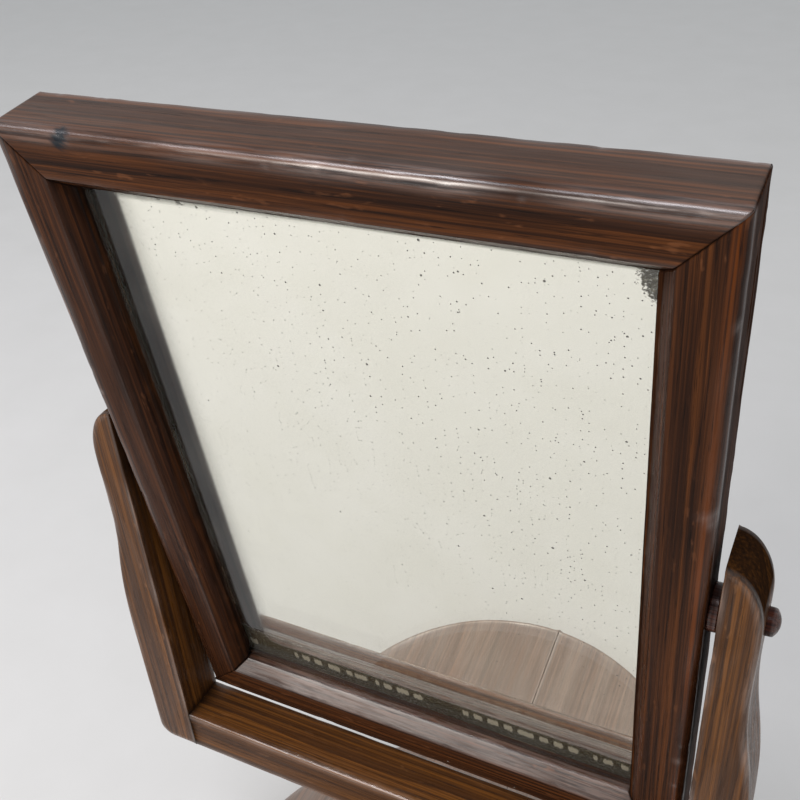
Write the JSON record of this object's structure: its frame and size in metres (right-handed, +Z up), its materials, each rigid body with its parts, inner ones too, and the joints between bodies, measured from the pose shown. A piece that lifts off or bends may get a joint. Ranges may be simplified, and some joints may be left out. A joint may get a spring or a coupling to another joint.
{
  "type": "tabletop swing mirror",
  "caption": "Oak dressing mirror: a mitred frame of old glass swings on wooden pegs between shaped uprights on a cross rail, turned column and round base.",
  "frame": {"origin": "centre of the round base at the level of the table top, under the felt pads", "axes": "+Z up, -Y towards the person in front of the mirror, X along the pivot pegs"},
  "size_m": [0.3646, 0.315, 0.6006],
  "materials": {
    "frame_oak": "dark stained open-grained oak, worn shellac gloss",
    "yoke_oak": "dark stained oak, warmer and more worn than the frame",
    "peg_oak": "dark stained turned oak",
    "column_oak": "dark stained turned oak",
    "base_oak": "dark oak, greyed and rubbed on top",
    "panel_pine": "bare softwood darkened with age",
    "glass": "clear old plate glass, ground edges",
    "silvering": "old silvering with foxing and bare strips near the edges",
    "paper": "brown kraft paper",
    "screw_steel": "dull steel, slightly tarnished",
    "felt": "pressed green felt"
  },
  "bodies": {
    "stand": {"left_upright": "yoke_oak", "right_upright": "yoke_oak", "cross_rail": "yoke_oak", "left_rail_dowels": "peg_oak", "right_rail_dowels": "peg_oak", "column": "column_oak", "column_screws": "screw_steel", "left_base_board": "base_oak", "right_base_board": "base_oak", "base_dowels": "peg_oak", "front_batten": "base_oak", "rear_batten": "base_oak", "batten_screws": "screw_steel", "felt_pads": "felt"},
    "mirror_frame": {"frame_top_rail": "frame_oak", "frame_bottom_rail": "frame_oak", "frame_left_stile": "frame_oak", "frame_right_stile": "frame_oak", "mitre_tongues": "frame_oak", "mirror_glass": "glass", "mirror_silvering": "silvering", "backing_paper": "paper", "glazing_blocks": "panel_pine", "back_panel": "panel_pine", "back_panel_screws": "screw_steel", "left_pivot_peg": "peg_oak", "right_pivot_peg": "peg_oak", "left_collar": "peg_oak", "right_collar": "peg_oak"}
  },
  "joints": [
    {"name": "frame_tilt", "type": "hinge", "parent": "stand", "child": "mirror_frame", "pos_m": [0, 0, 0.401], "axis": [1, 0, 0], "continuous": true}
  ]
}
